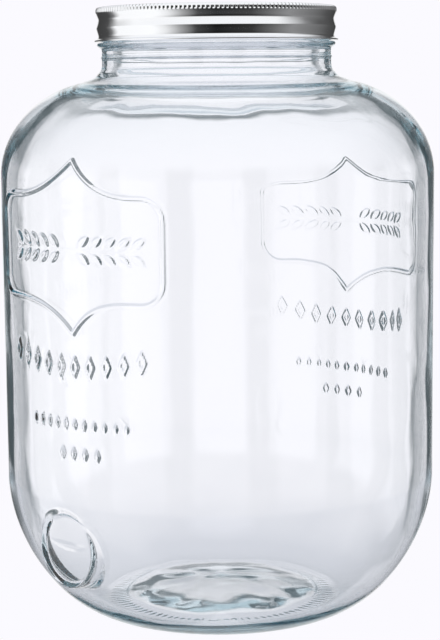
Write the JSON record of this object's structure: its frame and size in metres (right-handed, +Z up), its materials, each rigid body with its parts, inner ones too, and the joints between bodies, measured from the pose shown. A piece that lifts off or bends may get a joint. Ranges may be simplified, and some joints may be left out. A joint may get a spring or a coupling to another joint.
{
  "type": "glass storage jar",
  "caption": "Large round glass storage jar with a metal screw lid, rounded shoulders and heel, a moulded plaque outline and a blank tap pad.",
  "frame": {"origin": "middle of the foot, on the surface the jar stands on", "axes": "+Z up along the jar's axis; -Y faces the viewer, with the ornament and the tap pad at the front left, towards -X"},
  "size_m": [0.214, 0.214, 0.2996],
  "materials": {
    "clear_glass": "clear moulded glass, smooth, with a faint blue-green tint where it is thick",
    "bright_metal": "bright pressed tinplate, polished, with a finely ribbed rim"
  },
  "bodies": {
    "root": {"jar": "clear_glass", "lid": "bright_metal"}
  },
  "joints": []
}
